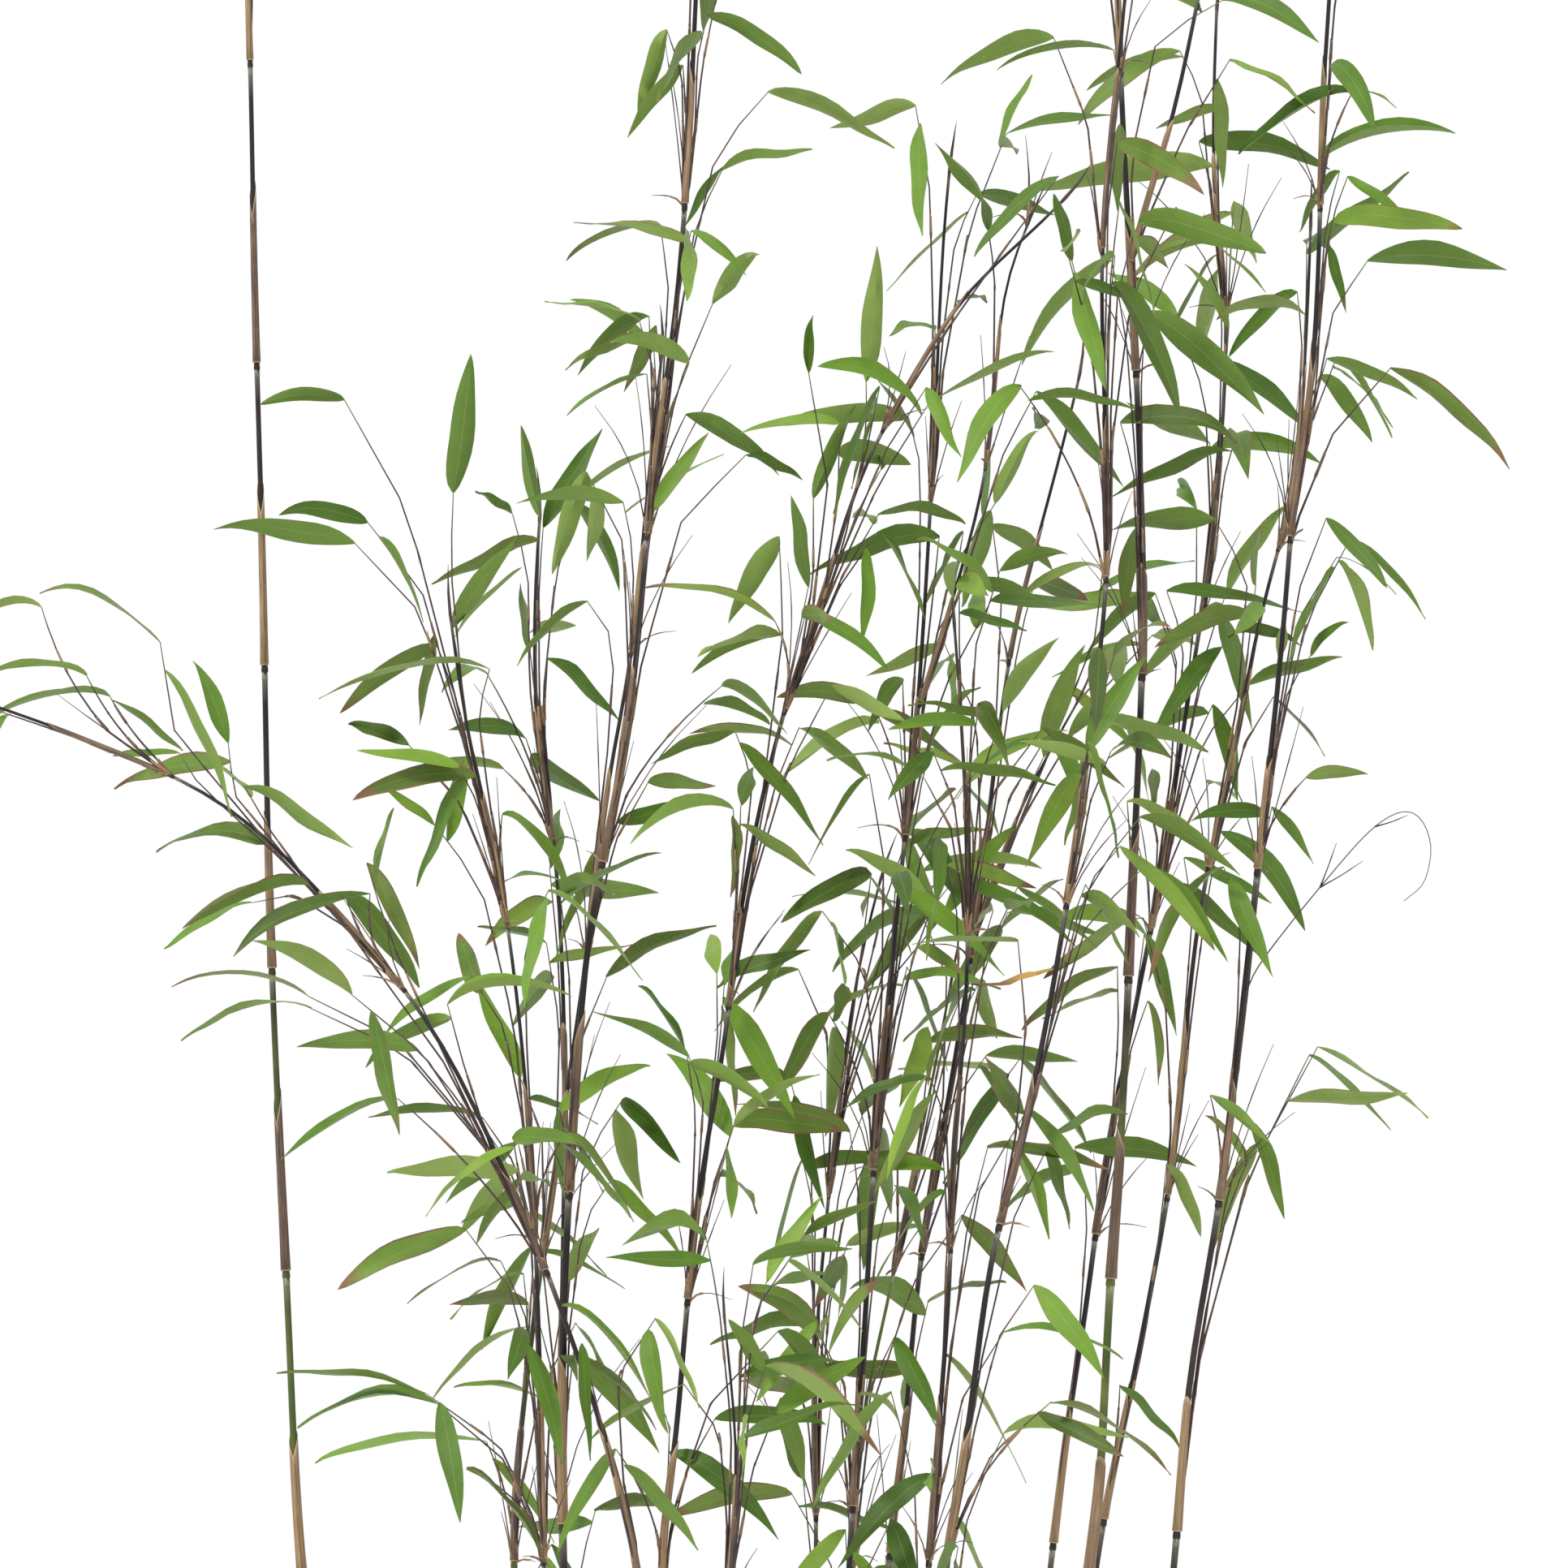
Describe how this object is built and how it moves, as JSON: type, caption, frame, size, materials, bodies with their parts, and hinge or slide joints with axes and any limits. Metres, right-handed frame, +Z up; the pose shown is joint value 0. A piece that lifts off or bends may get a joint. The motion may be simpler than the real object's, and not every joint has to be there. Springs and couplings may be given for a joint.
{
  "type": "clumping bamboo",
  "caption": "Clump of dark-stemmed bamboo: slender jointed culms with papery sheaths, steep twigs and lance-shaped leaves, rising from a woody rhizome crown with roots.",
  "frame": {"origin": "on the floor under the middle of the rhizome crown, on its flat trimmed underside", "axes": "+Z up along the culms, +X to the right and +Y away from the viewer in the front view"},
  "size_m": [0.9942, 0.45, 1.7536],
  "materials": {
    "culm": "satin",
    "crown": "matte"
  },
  "bodies": {
    "root": {"rhizome_crown": "crown", "culm_01": "culm", "culm_02": "culm", "culm_03": "culm", "culm_04": "culm", "culm_05": "culm", "culm_06": "culm", "culm_07": "culm", "culm_08": "culm", "culm_09": "culm", "culm_10": "culm", "culm_11": "culm", "culm_12": "culm", "culm_13": "culm", "culm_14": "culm", "culm_15": "culm", "culm_16": "culm", "culm_17": "culm", "culm_18": "culm"}
  },
  "joints": []
}
